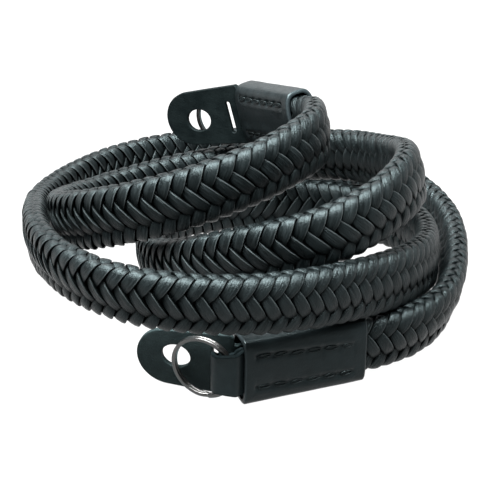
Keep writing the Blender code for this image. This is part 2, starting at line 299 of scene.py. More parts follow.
def spline(rows, at):
    """Natural cubic through evenly spaced rows, read at row positions."""
    rows = np.asarray(rows, float)
    count = len(rows)
    left = np.zeros((count, count))
    right = np.zeros_like(rows)
    left[0, 0] = left[-1, -1] = 1.0
    for i in range(1, count - 1):
        left[i, i - 1:i + 2] = (1.0, 4.0, 1.0)
        right[i] = 6.0 * (rows[i - 1] - 2.0 * rows[i] + rows[i + 1])
    curve = np.linalg.solve(left, right)
    cell = np.clip(np.floor(at).astype(int), 0, count - 2)
    t = (at - cell)[:, None]
    s = 1.0 - t
    straight = s * rows[cell] + t * rows[cell + 1]
    return straight + ((s**3 - s) * curve[cell] + (t**3 - t) * curve[cell + 1]) / 6.0


def coil_points(angles):
    reach, rise, lean = spline(COIL, (angles - FIRST_ANGLE) / ROW_ANGLE).T
    turn = np.radians(angles)
    along_x = COIL_AXIS[0] + COIL_REACH * reach * np.cos(turn)
    along_y = COIL_AXIS[1] + COIL_REACH * reach * np.sin(turn)
    return np.stack([along_x, along_y, STRAP_WIDTH * rise], axis=1), np.radians(lean)


def evenly(points, lean, spacing):
    steps = np.linalg.norm(np.diff(points, axis=0), axis=1)
    length = np.concatenate([[0.0], np.cumsum(steps)])
    count = int(round(length[-1] / spacing)) + 1
    at = np.linspace(0.0, length[-1], count)
    even = np.stack([np.interp(at, length, points[:, axis]) for axis in range(3)], axis=1)
    return even, np.interp(at, length, lean)


def frames(points, lean):
    """Directions along the strap, of the outer face and of the upper edge at each point."""
    along = np.gradient(points, axis=0)
    along /= np.linalg.norm(along, axis=1)[:, None]
    out = np.cross(along, (0.0, 0.0, 1.0))
    out /= np.linalg.norm(out, axis=1)[:, None]
    up = np.cross(out, along)
    cos = np.cos(lean)[:, None]
    sin = np.sin(lean)[:, None]
    return out * cos - up * sin, up * cos + out * sin


def oval(thickness, width, squareness, count):
    turn = np.linspace(0.0, 2.0 * math.pi, count, endpoint=False)
    power = 2.0 / squareness
    across = np.sign(np.cos(turn)) * np.abs(np.cos(turn)) ** power * thickness / 2
    high = np.sign(np.sin(turn)) * np.abs(np.sin(turn)) ** power * width / 2
    return np.stack([across, high], axis=1)


def hung_fall(mouth_rise):
    """Angle at which a hanging end falls from its sleeve's mouth."""
    rim = STRAP_WIDTH * (COIL[BELOW_ROW][1] + 0.5)
    level = rim + RING_DIAMETER / 2 + HANG_CLEARANCE
    return math.asin((mouth_rise - level) / (MOUTH_LEAD + SLEEVE_LENGTH))


def end_frame(mouth, inner, tilt, side, fall):
    """Matrix of a sleeve's outer end: X out along the strap, Y to the coil's outside."""
    heading = mouth - inner
    heading[2] = 0.0
    heading /= np.linalg.norm(heading)
    way = heading * math.cos(fall) - np.array([0.0, 0.0, math.sin(fall)])
    out = np.cross(way * side, (0.0, 0.0, 1.0))
    out /= np.linalg.norm(out)
    out = out * math.cos(tilt) - np.cross(out, way * side) * math.sin(tilt)
    matrix = np.eye(4)
    matrix[:3, 0] = way
    matrix[:3, 1] = out
    matrix[:3, 2] = np.cross(way, out)
    matrix[:3, 3] = mouth + way * (MOUTH_LEAD + SLEEVE_LENGTH)
    return matrix


def strap_route():
    """Middle line and lean, the matrix of each sleeve's outer end, and the steps inside a sleeve."""
    readings = round((REAR_MOUTH_ANGLE - FRONT_MOUTH_ANGLE) / READING_ANGLE)
    line, line_lean = coil_points(np.linspace(FRONT_MOUTH_ANGLE, REAR_MOUTH_ANGLE, readings + 1))
    fine = np.linspace(FRONT_MOUTH_ANGLE, REAR_MOUTH_ANGLE, readings * FINE_READINGS + 1)
    points, lean = evenly(*coil_points(fine), LINE_STEP)
    steps = round((MOUTH_LEAD + SLEEVE_LENGTH - STRAP_STOP) / LINE_STEP)
    ends = {}
    runs = {}
    for name, side, hangs, *_ in ENDS:
        mouth, inner, tilt = (line[0], line[1], line_lean[0])
        if side > 0:
            mouth, inner, tilt = (line[-1], line[-2], line_lean[-1])
        fall = hung_fall(mouth[2]) if hangs else 0.0
        ends[name] = end_frame(mouth, inner, tilt, side, fall)
        way = ends[name][:3, 0]
        runs[name] = mouth + way * (np.arange(1, steps + 1)[:, None] * LINE_STEP)
    points = np.vstack([runs["front"][::-1], points, runs["rear"]])
    lean = np.pad(lean, steps, mode="edge")
    # The front sleeve rests on the table
    grown = 2 * (GAP + SLEEVE_WALL)
    outline = oval(STRAP_THICKNESS + grown, STRAP_WIDTH + grown, SLEEVE_SQUARENESS, 28)
    front = ends["front"]
    ground = front[2, 3] + (outline @ front[2, 1:3]).min()
    points[:, 2] -= ground
    for matrix in ends.values():
        matrix[2, 3] -= ground
    return points, lean, ends, steps


# Meshes


def grid_faces(rows, columns, closed_rows=False):
    """Quads over a grid of points whose rows are loops, as an array of corner numbers."""
    i, j = np.meshgrid(np.arange(rows if closed_rows else rows - 1), np.arange(columns), indexing="ij")
    here = (i * columns + j).ravel()
    beside = (i * columns + (j + 1) % columns).ravel()
    there = (((i + 1) % rows) * columns + j).ravel()
    across = (((i + 1) % rows) * columns + (j + 1) % columns).ravel()
    return np.stack([here, beside, across, there], axis=1)


def tube_faces(rows, columns, start=0):
    """The sides and the two end caps of a tube, from point number start on."""
    faces = (grid_faces(rows, columns) + start).tolist()
    last = start + (rows - 1) * columns
    return faces + [list(range(start, start + columns)), list(range(last, last + columns))]


def put(name, data):
    obj = bpy.data.objects.new(name, data)
    bpy.context.scene.collection.objects.link(obj)
    return obj


def piece(name, points, faces, material, matrix=None, sharp=50.0):
    """A named object that rides on the one body."""
    mesh = bpy.data.meshes.new(name)
    mesh.from_pydata([tuple(point) for point in points], [], [tuple(face) for face in faces])
    work = bmesh.new()
    work.from_mesh(mesh)
    bmesh.ops.recalc_face_normals(work, faces=work.faces)
    work.to_mesh(mesh)
    work.free()
    if matrix is not None:
        mesh.transform(Matrix(matrix.tolist()))
    mesh.shade_smooth()
    mesh.set_sharp_from_angle(angle=math.radians(sharp))
    mesh.materials.append(material)
    obj = put(name, mesh)
    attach(obj, "root")
    return obj


def write(obj, name, values):
    """Three numbers for each point, which the material reads."""
    attribute = obj.data.attributes.new(name, "FLOAT_VECTOR", "POINT")
    attribute.data.foreach_set("vector", np.ascontiguousarray(values, np.float32).ravel())


class Braid:
    """Places a point given by its share of the way round the section, its run and its height."""

    def __init__(self, points, lean, steps):
        self.points = points
        self.out, self.up = frames(points, lean)
        turn = np.linspace(0.0, 2.0 * math.pi, SECTION_STEPS + 1)
        power = 2.0 / STRAP_SQUARENESS
        across = np.sign(np.sin(turn)) * np.abs(np.sin(turn)) ** power * STRAP_THICKNESS / 2
        high = np.sign(np.cos(turn)) * np.abs(np.cos(turn)) ** power * STRAP_WIDTH / 2
        walked = np.concatenate([[0.0], np.cumsum(np.hypot(np.diff(across), np.diff(high)))])
        self.round = walked[-1]
        self.shares = np.linspace(0.0, 1.0, NORMAL_STEPS + 1)
        at = np.interp(self.shares * self.round, walked, turn)
        self.across = np.interp(at, turn, across)
        self.high = np.interp(at, turn, high)
        slope_a = np.gradient(self.across)
        slope_h = np.gradient(self.high)
        for values in (slope_a, slope_h):
            values[0] = values[-1] = (values[1] + values[-2]) / 2
            more = NORMAL_BLUR - 1
            looped = np.concatenate([values[-1 - more:-1], values, values[1:1 + more]])
            values[:] = np.convolve(looped, np.ones(NORMAL_BLUR) / NORMAL_BLUR, "same")[more:-more]
        size = np.hypot(slope_a, slope_h)
        self.normal_a = -slope_h / size
        self.normal_h = slope_a / size
        self.runs = np.arange(len(points)) * LINE_STEP
        # The braid draws in where it enters a sleeve
        mouth = steps * LINE_STEP
        near = np.minimum(self.runs - mouth, self.runs[-1] - mouth - self.runs)
        share = np.clip(near / DRAWN_IN_OVER, 0.0, 1.0)
        self.fullness = DRAWN_IN + (1 - DRAWN_IN) * eased(share)

    def place(self, share, run, height):
        share = share % 1.0
        across = np.interp(share, self.shares, self.across)
        high = np.interp(share, self.shares, self.high)
        normal_a = np.interp(share, self.shares, self.normal_a)
        normal_h = np.interp(share, self.shares, self.normal_h)
        full = np.interp(run, self.runs, self.fullness)
        x = across * full + normal_a * height
        y = high * full + normal_h * height
        placed = []
        for axis in range(3):
            middle = np.interp(run, self.runs, self.points[:, axis])
            out = np.interp(run, self.runs, self.out[:, axis])
            up = np.interp(run, self.runs, self.up[:, axis])
            placed.append(middle + out * x + up * y)
        return np.stack(placed, axis=-1)


def over_and_under(a):
    """+1 where a strand lies on top and -1 where it lies below, two crossings at a time."""
    return np.tanh(PLATEAU * np.cos(math.pi * (a - 0.5) / 2)) / math.tanh(PLATEAU)


def build_strand(braid, name, number, hand, material, first, last):
    """One strip of the braid: hand -1 climbs along the outer face, hand +1 falls."""
    crossing = BRAID_PITCH / (2 * STRANDS)
    runs = np.arange(first, last, crossing / STEPS_PER_CROSSING)
    slope = braid.round / BRAID_PITCH
    reach = math.hypot(1.0, slope)
    half = STRIP_COVER * BRAID_PITCH / STRANDS * slope / reach / 2
    profile = np.array(STRIP_PROFILE)
    # A strip is widest at the middle of each stretch that lies on top
    middle = number + STRANDS * (number / STRANDS + 2 * hand * runs / BRAID_PITCH)
    on_top = np.clip(-hand * np.cos(math.pi * (middle - 0.5) / 2), 0.0, 1.0)[:, None]
    across = profile[:, 0] * half * (1 - STRIP_NARROWING * (1 - on_top) ** 1.5)
    generator = np.random.default_rng(100 * number + 7 * (hand + 2))
    lifts, tilts = generator.normal(size=(2, UNEVEN_STEPS))

    run = runs[:, None] + across * slope / reach
    share = number / STRANDS + hand * runs[:, None] / BRAID_PITCH - hand * across / reach / braid.round
    # The other family's number at this point, then the number of the crossing
    opposite = STRANDS * (share + hand * run / BRAID_PITCH)
    lift = over_and_under(number + opposite) * (-hand)
    steps = np.arange(UNEVEN_STEPS)
    at = runs / (UNEVEN_CROSSINGS * crossing)
    raised = np.interp(at, steps, lifts)[:, None]
    turned = np.interp(at + UNEVEN_SHIFT, steps, tilts)[:, None]
    level = STRIP_THICKNESS * (lift - 2) / 2 + UNEVEN_HEIGHT * raised
    level = level + STRIP_BULGE * on_top
    tilt = STRIP_TILT * (1 + UNEVEN_TILT * turned) * profile[:, 0]
    height = level + tilt + profile[:, 1] * STRIP_THICKNESS
    points = braid.place(share + 0.5 / (2 * STRANDS), run, height)
    rows, columns = points.shape[:2]
    faces = tube_faces(rows, columns)
    strand = piece(name, points.reshape(-1, 3), faces, material, sharp=80.0)
    strip = np.stack([np.broadcast_to(profile[:, 0], run.shape), run * 1000,
                      np.full(run.shape, number * 17.0 + hand * 5.0)], axis=-1)
    write(strand, "strip", strip.reshape(-1, 3))
    # The lift, read by the material for the painted highlight and the painted shade where a strip goes
    # under
    depth = np.stack([lift, np.zeros(run.shape), np.zeros(run.shape)], axis=-1)
    write(strand, "depth", depth.reshape(-1, 3))


def build_braid(braid, leather, dark, steps):
    """Twelve strips round a dark core."""
    total = braid.runs[-1]
    mouth = steps * LINE_STEP
    first = mouth - STRAND_INSIDE
    last = total - mouth + STRAND_INSIDE
    for number in range(STRANDS):
        build_strand(braid, f"strand_rising_{number + 1}", number, -1, leather, first, last)
        build_strand(braid, f"strand_falling_{number + 1}", number, 1, leather, first, last)
    runs = np.linspace(0.0, total, CORE_STATIONS)
    shares = np.linspace(0.0, 1.0, CORE_SIDES, endpoint=False)
    points = braid.place(shares[None, :], runs[:, None], -CORE_DEPTH * STRIP_THICKNESS)
    faces = tube_faces(CORE_STATIONS, CORE_SIDES)
    core = piece("braid_core", points.reshape(-1, 3), faces, dark)
    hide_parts("strap_braid")


# Pieces at the two ends


def sleeve_outline(wall, count, squareness):
    grown = 2 * (GAP + wall)
    return oval(STRAP_THICKNESS + grown, STRAP_WIDTH + grown, squareness, count)


def build_sleeve(name, matrix, leather, thread, rows):
    """A wrap of leather with two rows of long stitches, drawn in along each row."""
    squareness = LOOK_SQUARENESS[name]
    outer = sleeve_outline(SLEEVE_WALL, SLEEVE_SIDES, squareness)
    inner = sleeve_outline(0.0, SLEEVE_SIDES, squareness)
    shift = np.gradient(np.vstack([outer[-1:], outer, outer[:1]]), axis=0)[1:-1]
    normal = np.stack([shift[:, 1], -shift[:, 0]], axis=1)
    normal /= np.linalg.norm(normal, axis=1)[:, None]
    along = np.linspace(0.0, -SLEEVE_LENGTH, SLEEVE_STATIONS)
    # Two rows more, for the edges of the sleeve's inside
    grid = np.empty((SLEEVE_STATIONS + 2, SLEEVE_SIDES, 3))
    grid[:, :, 0] = np.append(along, (-SLEEVE_LENGTH, 0.0))[:, None]
    grid[-2:, :, 1:] = inner
    for k, x in enumerate(along):
        edge = min(-x, SLEEVE_LENGTH + x)
        turn = np.arctan2(outer[:, 1], outer[:, 0] * 2.2)
        dents = np.sin(x * 190 + 2.1 * np.sin(turn * 2 + 0.7)) * np.sin(turn * 3 + x * 60)
        dents += 0.7 * np.sin(x * 330 + 1.7 * turn) * np.sin(turn * 2 - x * 110 + 1.3)
        sink = RIM_ROLL * max(0.0, 1 - edge / RIM_ROLL_LENGTH) ** 2
        sink = sink + DENT_DEPTH * dents * min(1.0, edge / DENTS_FADE)
        for side in (1, -1):
            for z_start, z_end in rows:
                sink += (outer[:, 0] * side > 0) * seam_sink(x, outer[:, 1], z_start, z_end)
        grid[k, :, 1:] = outer - normal * sink[:, None]
    points = grid.reshape(-1, 3)
    faces = grid_faces(SLEEVE_STATIONS + 2, SLEEVE_SIDES, closed_rows=True)
    sleeve = piece(f"{name}_sleeve_leather", points, faces, leather, matrix)
    # A painted highlight along both rims, none on the cut edges inside
    edges = np.minimum(-points[:, 0], SLEEVE_LENGTH + points[:, 0])
    rims = np.clip(1 - edges / RIM_HIGHLIGHT_WIDTH, 0.0, 1.0)
    cuts = np.zeros(len(points))
    rims[-2 * SLEEVE_SIDES:] = 0.0
    cuts[-2 * SLEEVE_SIDES:] = 1.0
    write(sleeve, "rim", np.repeat(rims[:, None], 3, axis=1))
    write(sleeve, "cut", np.repeat(cuts[:, None], 3, axis=1))
    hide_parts(f"{name}_sleeve")
    build_stitches(name, matrix, thread, rows)


def seam_sink(x, heights, z_start, z_end):
    """How far a row of stitches draws the leather in at one station, with a puff on each side."""
    z = z_start + (z_end - z_start) * (-x / SLEEVE_LENGTH)
    inside = -STITCH_FROM_END - x
    reach = min(inside + SEAM_AHEAD, STITCHES * STITCH_PITCH + SEAM_BEYOND - inside)
    fade = eased(clamped(reach / SEAM_FADE))
    place = (inside / STITCH_PITCH) % 1.0
    needle = math.exp(-(min(place, 1 - place) * STITCH_PITCH / NEEDLE_WIDTH) ** 2)
    near = np.exp(-((heights - z) / SEAM_WIDTH) ** 2)
    puffed = np.exp(-((np.abs(heights - z) - PUFF_FROM_SEAM) / PUFF_WIDTH) ** 2)
    return fade * (near * (SEAM_DEPTH + NEEDLE_DEPTH * needle) - puffed * PUFF_HEIGHT)


def build_stitches(name, matrix, thread, rows):
    """Each stitch is two bowed threads with an eye between them."""
    generator = np.random.default_rng(STITCH_SEED)
    points, faces = [], []
    face_y = STRAP_THICKNESS / 2 + GAP + SLEEVE_WALL
    for side in (1, -1):
        for z_start, z_end in rows:
            for number in range(STITCHES):
                centre = -STITCH_FROM_END - (number + 0.5) * STITCH_PITCH
                slant = generator.normal() * 0.05 - 0.08 * side
                rise = generator.normal() * 0.00008
                for strand in (-1, 1):
                    length = STITCH_LENGTH * (0.94 + 0.1 * generator.random())
                    faces += tube_faces(STITCH_STATIONS, THREAD_SIDES, len(points))
                    for k in range(STITCH_STATIONS):
                        t = k / (STITCH_STATIONS - 1) * 2 - 1
                        x = centre + t * length / 2
                        z = z_start + (z_end - z_start) * (-x / SLEEVE_LENGTH) + rise
                        z += slant * t * length / 2 + strand * EYE_HEIGHT * (1 - t * t) ** 0.7
                        y = face_y - 0.00042 + 0.00030 * (1 - t**4)
                        thick = THREAD / 2 * (0.55 + 0.45 * (1 - t**6))
                        for j in range(THREAD_SIDES):
                            turn = 2 * math.pi * j / THREAD_SIDES + k * 0.5
                            out = side * (y + thick * 0.8 * math.cos(turn))
                            points.append((x, out, z + thick * math.sin(turn)))
    piece(f"{name}_stitches", points, faces, thread, matrix)


def stack():
    inside = STRAP_THICKNESS / 2 + GAP
    flap = FLAP_SEAT + FLAP_LEATHER / 2 - inside
    tab = inside - TAB_SEAT - TAB_LEATHER - TAB_CLOSED / 2
    return flap, tab, flap - FLAP_LEATHER / 2 - BEND_CLEARANCE


def bent(reach, offset, middle, edge, angle):
    """Where a point of a flat strip lies once the strip has turned round the edge."""
    radius = middle - edge
    past = reach - BEND_START
    turned = min(max(past / radius, 0.0), angle)
    beyond = max(past - radius * angle, 0.0)
    arm = radius + offset
    along = BEND_START + min(past, 0.0) + math.sin(turned) * arm + math.cos(turned) * beyond
    across = edge + math.cos(turned) * arm - math.sin(turned) * beyond
    return along, across


def ring_bow():
    return RING_DIAMETER / 2 - math.sqrt(RING_DIAMETER**2 - TAB_WIDTH_AT_FOLD**2) / 2


def build_tab(name, matrix, side, angle, ring_start, play, leather):
    """One strip folded back on itself round the ring."""
    _, middle, edge = stack()
    room = WIRE_ALONG * (1 + TURN_PITCH) / 2 + RING_SLACK
    fold = ring_start + ring_bow() + WIRE_ACROSS + play - room
    straight = list(np.linspace(-TAB_DEPTH, 0.0, 6)) + list(np.linspace(0.0004, fold, 22))

    def layer_line(layer):
        line = []
        for reach in straight:
            opened = eased(clamped(reach / OPENING_LENGTH))
            line.append((reach, TAB_CLOSED / 2 * (1 - opened) + room * opened + layer))
        half = room + layer
        turned = []
        for step in range(1, TAB_FOLD_STEPS):
            turn = math.pi / 2 - math.pi * step / TAB_FOLD_STEPS
            turned.append((fold + half * math.cos(turn), half * math.sin(turn)))
        return line + turned + [(reach, -offset) for reach, offset in reversed(line)]

    outside = layer_line(TAB_LEATHER)
    inside = layer_line(0.0)
    # Place across the strip, depth through the leather and share of the rounding
    corner = [(0.0, 0.0), (0.75, 0.0), (0.92, 0.25), (1.0, 1.0)]
    cross = [(-1.0, *point) for point in corner]
    cross += [(place, 1.0, 0.0) for place in np.linspace(-0.94, 0.94, TAB_COLUMNS)]
    cross += [(1.0, *point) for point in reversed(corner)]
    points, cuts = [], []
    for k, (reach, offset) in enumerate(outside):
        inner_reach, inner_offset = inside[k]
        width = TAB_WIDTH_AT_SLEEVE + clamped(reach / fold) * (TAB_WIDTH_AT_FOLD - TAB_WIDTH_AT_SLEEVE)
        near = clamped(reach / TAB_FILL_RISE) * clamped(1 - (reach - TAB_FILL_RISE) / TAB_FILL_FALL)
        high = clamped(reach / TAB_RISE_RUN + 1) * clamped(1 - (reach - TAB_RISE_TO) / TAB_RISE_FALL)
        behind = clamped(-offset / (room + TAB_LEATHER)) * clamped(reach / TAB_BACK_RUN)
        for place, depth, rounded in cross:
            x = inner_reach + (reach - inner_reach) * depth
            y = inner_offset + (offset - inner_offset) * depth
            z = place * width / 2 - math.copysign(TAB_ROUNDING * rounded, place)
            z -= side * TAB_RISE * eased(high)
            z += side * TAB_BACK_DROP * behind * max(0.0, -place * side)
            wave = TAB_WAVE * math.sin(reach * 900 + place * 2.3) * (depth >= 1.0)
            if offset > 0 and depth > 0.0:
                wave += TAB_FILL * eased(near)
            along, across = bent(x, y + wave, middle, edge, angle)
            points.append((along, across, z))
            cuts.append([1.0 if abs(place) > 0.99 else 0.0] * 3)
    faces = tube_faces(len(outside), len(cross))
    tab = piece(f"{name}_tab_leather", points, faces, leather, matrix)
    write(tab, "cut", np.array(cuts))
    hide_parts(f"{name}_tab")


def build_flap(name, matrix, angle, leather):
    """A round-ended flap with rolled cut edges, an oval hole and a slot."""
    middle, _, edge = stack()
    tip = FLAP_WIDTH / 2
    round_start = FLAP_LENGTH - tip
    root = FLAP_ROOT_WIDTH / 2
    high = FLAP_SHOULDER_SHIFT + FLAP_SHOULDER_WIDTH / 2
    low = FLAP_SHOULDER_SHIFT - FLAP_SHOULDER_WIDTH / 2
    shoulder = BEND_START + SHOULDER_FROM_BEND
    outline = [(-FLAP_DEPTH, root), (BEND_START, root)]
    outline += [(shoulder - SHOULDER_RUN, high - SHOULDER_CHAMFER), (shoulder + SHOULDER_RUN, high)]
    for step in range(TIP_STEPS + 1):
        turn = math.pi * step / TIP_STEPS
        outline.append((round_start + tip * math.sin(turn), FLAP_SHIFT + tip * math.cos(turn)))
    outline += [(shoulder + SHOULDER_RUN, low), (shoulder - SHOULDER_RUN, low + SHOULDER_CHAMFER)]
    outline += [(BEND_START, -root), (-FLAP_DEPTH, -root)]
    hole = []
    for step in range(HOLE_STEPS):
        turn = 2 * math.pi * step / HOLE_STEPS
        x = FLAP_LENGTH - HOLE_FROM_TIP + HOLE_LENGTH / 2 * math.cos(turn)
        hole.append((x, HOLE_SHIFT + HOLE_HEIGHT / 2 * math.sin(turn)))
    slot = []
    straight = (SLOT_LENGTH - SLOT_WIDTH) / 2
    for step in range(SLOT_STEPS):
        turn = 2 * math.pi * (step + 0.5) / SLOT_STEPS
        x = SLOT_FROM_SLEEVE + SLOT_WIDTH / 2 * math.cos(turn)
        rise = SLOT_WIDTH / 2 * math.sin(turn)
        slot.append((x, rise + math.copysign(straight, rise)))
    curve = bpy.data.curves.new(f"{name}_flap_outline", "CURVE")
    curve.dimensions = "2D"
    curve.fill_mode = "BOTH"
    curve.extrude = FLAP_LEATHER / 2 - FLAP_ROUNDING
    curve.bevel_depth = FLAP_ROUNDING
    curve.bevel_resolution = 3
    curve.offset = -FLAP_ROUNDING
    for loop in (outline, hole, slot):
        line = curve.splines.new("POLY")
        line.points.add(len(loop) - 1)
        for point, (x, y) in zip(line.points, loop):
            point.co = (x, y, 0.0, 1.0)
        line.use_cyclic_u = True
    source = put(curve.name, curve)
    bpy.context.view_layer.update()
    work = bmesh.new()
    flat = source.evaluated_get(bpy.context.evaluated_depsgraph_get()).to_mesh()
    work.from_mesh(flat)
    bpy.data.objects.remove(source)
    bmesh.ops.remove_doubles(work, verts=work.verts, dist=1e-6)
    for (start, spacing, count), way in zip(FLAP_CUTS, ((1, 0, 0), (1, 0, 0), (0, 1, 0))):
        for k in range(count):
            everything = work.verts[:] + work.edges[:] + work.faces[:]
            place = Vector(way) * (start + spacing * k)
            bmesh.ops.bisect_plane(work, geom=everything, plane_co=place, plane_no=way)
    points = []
    for vert in work.verts:
        x, z, y = vert.co
        wave = FLAP_WAVE * math.sin(x * 260 + z * 120) * clamped(x / 0.01)
        along, across = bent(x, y + wave, middle, edge, angle)
        points.append((along, across, z))
    work.verts.index_update()
    faces = [[vert.index for vert in face.verts] for face in work.faces]
    work.free()
    flap = piece(f"{name}_flap_leather", points, faces, leather, matrix, sharp=60.0)
    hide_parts(f"{name}_flap")


def build_ring(name, matrix, side, tab_angle, angle, ring_start, drop, metal):
    """Two turns of one flattened wire, with the step where one turn passes to the other."""
    _, middle, edge = stack()
    held = (ring_bow() + WIRE_ACROSS) / 2
    along, across = bent(ring_start + held, 0.0, middle, edge, tab_angle)
    arm = RING_DIAMETER / 2 - held
    centre = (along + arm * math.cos(angle), across - arm * math.sin(angle), drop * side)
    place = Matrix(matrix.tolist()) @ Matrix.Translation(centre) @ Matrix.Rotation(-angle, 4, "Z")
    section = oval(WIRE_ACROSS, WIRE_ALONG * WIRE_FILLING, WIRE_SQUARENESS, WIRE_SIDES)
    pitch = WIRE_ALONG * TURN_PITCH
    points = []
    for k in range(RING_SEGMENTS + 1):
        t = k / RING_SEGMENTS
        turn = RING_STEP_ANGLE * side + 4 * math.pi * t
        # The wire steps over to the second turn in a short stretch at the middle of its run
        shift = pitch * (eased(clamped((t - 0.5) / RING_STEP_SHARE + 0.5)) - 0.5)
        taper = 1.0 - WIRE_TIP_TAPER * max(0.0, 1 - min(t, 1 - t) / WIRE_TIP)
        for swing, high in section * taper:
            radius = (RING_DIAMETER - WIRE_ACROSS) / 2 + swing
            points.append((radius * math.cos(turn), shift + high, radius * math.sin(turn)))
    faces = tube_faces(RING_SEGMENTS + 1, WIRE_SIDES)
    ring = piece(f"{name}_ring_wire", points, faces, metal, np.array(place), sharp=60.0)
    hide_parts(f"{name}_ring")


# Materials


class Nodes:
    """A short way to write a material's node tree."""

    def __init__(self, name):
        self.material = bpy.data.materials.new(name)
        self.material.use_nodes = True
        self.tree = self.material.node_tree
        self.shader = self.tree.nodes["Principled BSDF"]

    def add(self, kind, **settings):
        node = self.tree.nodes.new(kind)
        for key, value in settings.items():
            setattr(node, key, value)
        return node

    def join(self, output, socket):
        self.tree.links.new(output, socket)

    def position(self, scale=(1000.0, 1000.0, 1000.0)):
        """Object coordinates, in millimetres times scale / 1000."""
        where = self.add("ShaderNodeTexCoord").outputs["Object"]
        return self.scaled(where, scale)

    def strip(self, scale=(1.0, 1.0, 1.0)):
        where = self.add("ShaderNodeAttribute", attribute_name="strip").outputs["Vector"]
        return self.scaled(where, scale)

    def scaled(self, vector, scale):
        node = self.add("ShaderNodeMapping")
        node.inputs["Scale"].default_value = scale
        self.join(vector, node.inputs["Vector"])
        return node.outputs["Vector"]

    def noise(self, vector, scale=1.0, detail=3.0, roughness=0.55):
        node = self.add("ShaderNodeTexNoise")
        node.inputs["Scale"].default_value = scale
        node.inputs["Detail"].default_value = detail
        node.inputs["Roughness"].default_value = roughness
        self.join(vector, node.inputs["Vector"])
        return node.outputs["Fac"]

    def cells(self, vector, scale=1.0):
        node = self.add("ShaderNodeTexVoronoi")
        node.inputs["Scale"].default_value = scale
        self.join(vector, node.inputs["Vector"])
        return node.outputs["Distance"]

    def sum(self, a, b, operation="ADD"):
        node = self.add("ShaderNodeMath", operation=operation)
        for socket, value in zip(node.inputs, (a, b)):
            if isinstance(value, (int, float)):
                socket.default_value = value
            else:
                self.join(value, socket)
        return node.outputs[0]

    def span(self, value, low, high, to_low=0.0, to_high=1.0):
        node = self.add("ShaderNodeMapRange")
        node.inputs["From Min"].default_value = low
        node.inputs["From Max"].default_value = high
        node.inputs["To Min"].default_value = to_low
        node.inputs["To Max"].default_value = to_high
        self.join(value, node.inputs["Value"])
        return node.outputs["Result"]

    def blend(self, factor, a, b):
        node = self.add("ShaderNodeMix", data_type="RGBA")
        self.join(factor, node.inputs["Factor"])
        for socket, value in ((node.inputs[6], a), (node.inputs[7], b)):
            if isinstance(value, tuple):
                socket.default_value = (*value, 1.0)
            else:
                self.join(value, socket)
        return node.outputs[2]

    def bump(self, height, strength, distance=0.0002):
        node = self.add("ShaderNodeBump")
        node.inputs["Strength"].default_value = strength
        node.inputs["Distance"].default_value = distance
        self.join(height, node.inputs["Height"])
        self.join(node.outputs["Normal"], self.shader.inputs["Normal"])


def braid_leather():
    """Smooth dyed strips: lengthwise streaks, fine pores, painted shade in the grooves and a painted
    highlight on the raised edges.
    """
    n = Nodes("braid_leather")
    streaks = n.noise(n.strip((3.2, 0.20, 1.0)), detail=5.0, roughness=0.62)
    clouds = n.noise(n.strip((0.7, 0.20, 1.0)), detail=2.0)
    pores = n.noise(n.position(), scale=5.5, detail=2.0)
    creases = n.noise(n.strip((1.0, 1.5, 1.0)), detail=3.0)
    across = n.add("ShaderNodeSeparateXYZ")
    n.join(n.strip(), across.inputs[0])
    place = across.outputs["X"]
    # Painted shade: dark in the grooves and where a strip goes under. Painted highlight: paler along
    # the edge that stands up
    groove = n.span(n.sum(place, 0.0, "ABSOLUTE"), GROOVE_FROM, 1.0)
    line = n.sum(n.span(place, LINE_FROM, LINE_FULL), n.span(place, LINE_FULL, LINE_TO), "SUBTRACT")
    deep = n.add("ShaderNodeSeparateXYZ")
    n.join(n.add("ShaderNodeAttribute", attribute_name="depth").outputs["Vector"], deep.inputs[0])
    top = n.span(deep.outputs["X"], -0.5, 0.7)
    colour = n.blend(n.span(clouds, 0.35, 0.65), BRAID_DARK, BRAID_PALE)
    colour = n.blend(n.span(streaks, 0.50, 0.75), colour, BRAID_STREAK)
    colour = n.blend(n.sum(groove, 0.9, "MULTIPLY"), colour, BRAID_GROOVE_SHADE)
    colour = n.blend(n.sum(n.sum(line, top, "MULTIPLY"), 0.65, "MULTIPLY"), colour, BRAID_EDGE_HIGHLIGHT)
    n.join(colour, n.shader.inputs["Base Color"])
    n.join(n.span(streaks, 0.3, 0.7, 0.24, 0.44), n.shader.inputs["Roughness"])
    # Painted shade of the sheen: low specular where a strip goes under and in the grooves
    shine = n.sum(n.span(top, 0.0, 1.0, 0.006, 0.155), n.span(groove, 0.0, 1.0, 1.0, 0.12), "MULTIPLY")
    n.join(shine, n.shader.inputs["Specular IOR Level"])
    height = n.sum(streaks, n.sum(creases, 0.45, "MULTIPLY"))
    n.bump(n.sum(height, n.sum(pores, 0.22, "MULTIPLY")), 1.0, 0.00038)
    n.shader.inputs["Specular Tint"].default_value = SHEEN_TINT
    return n.material


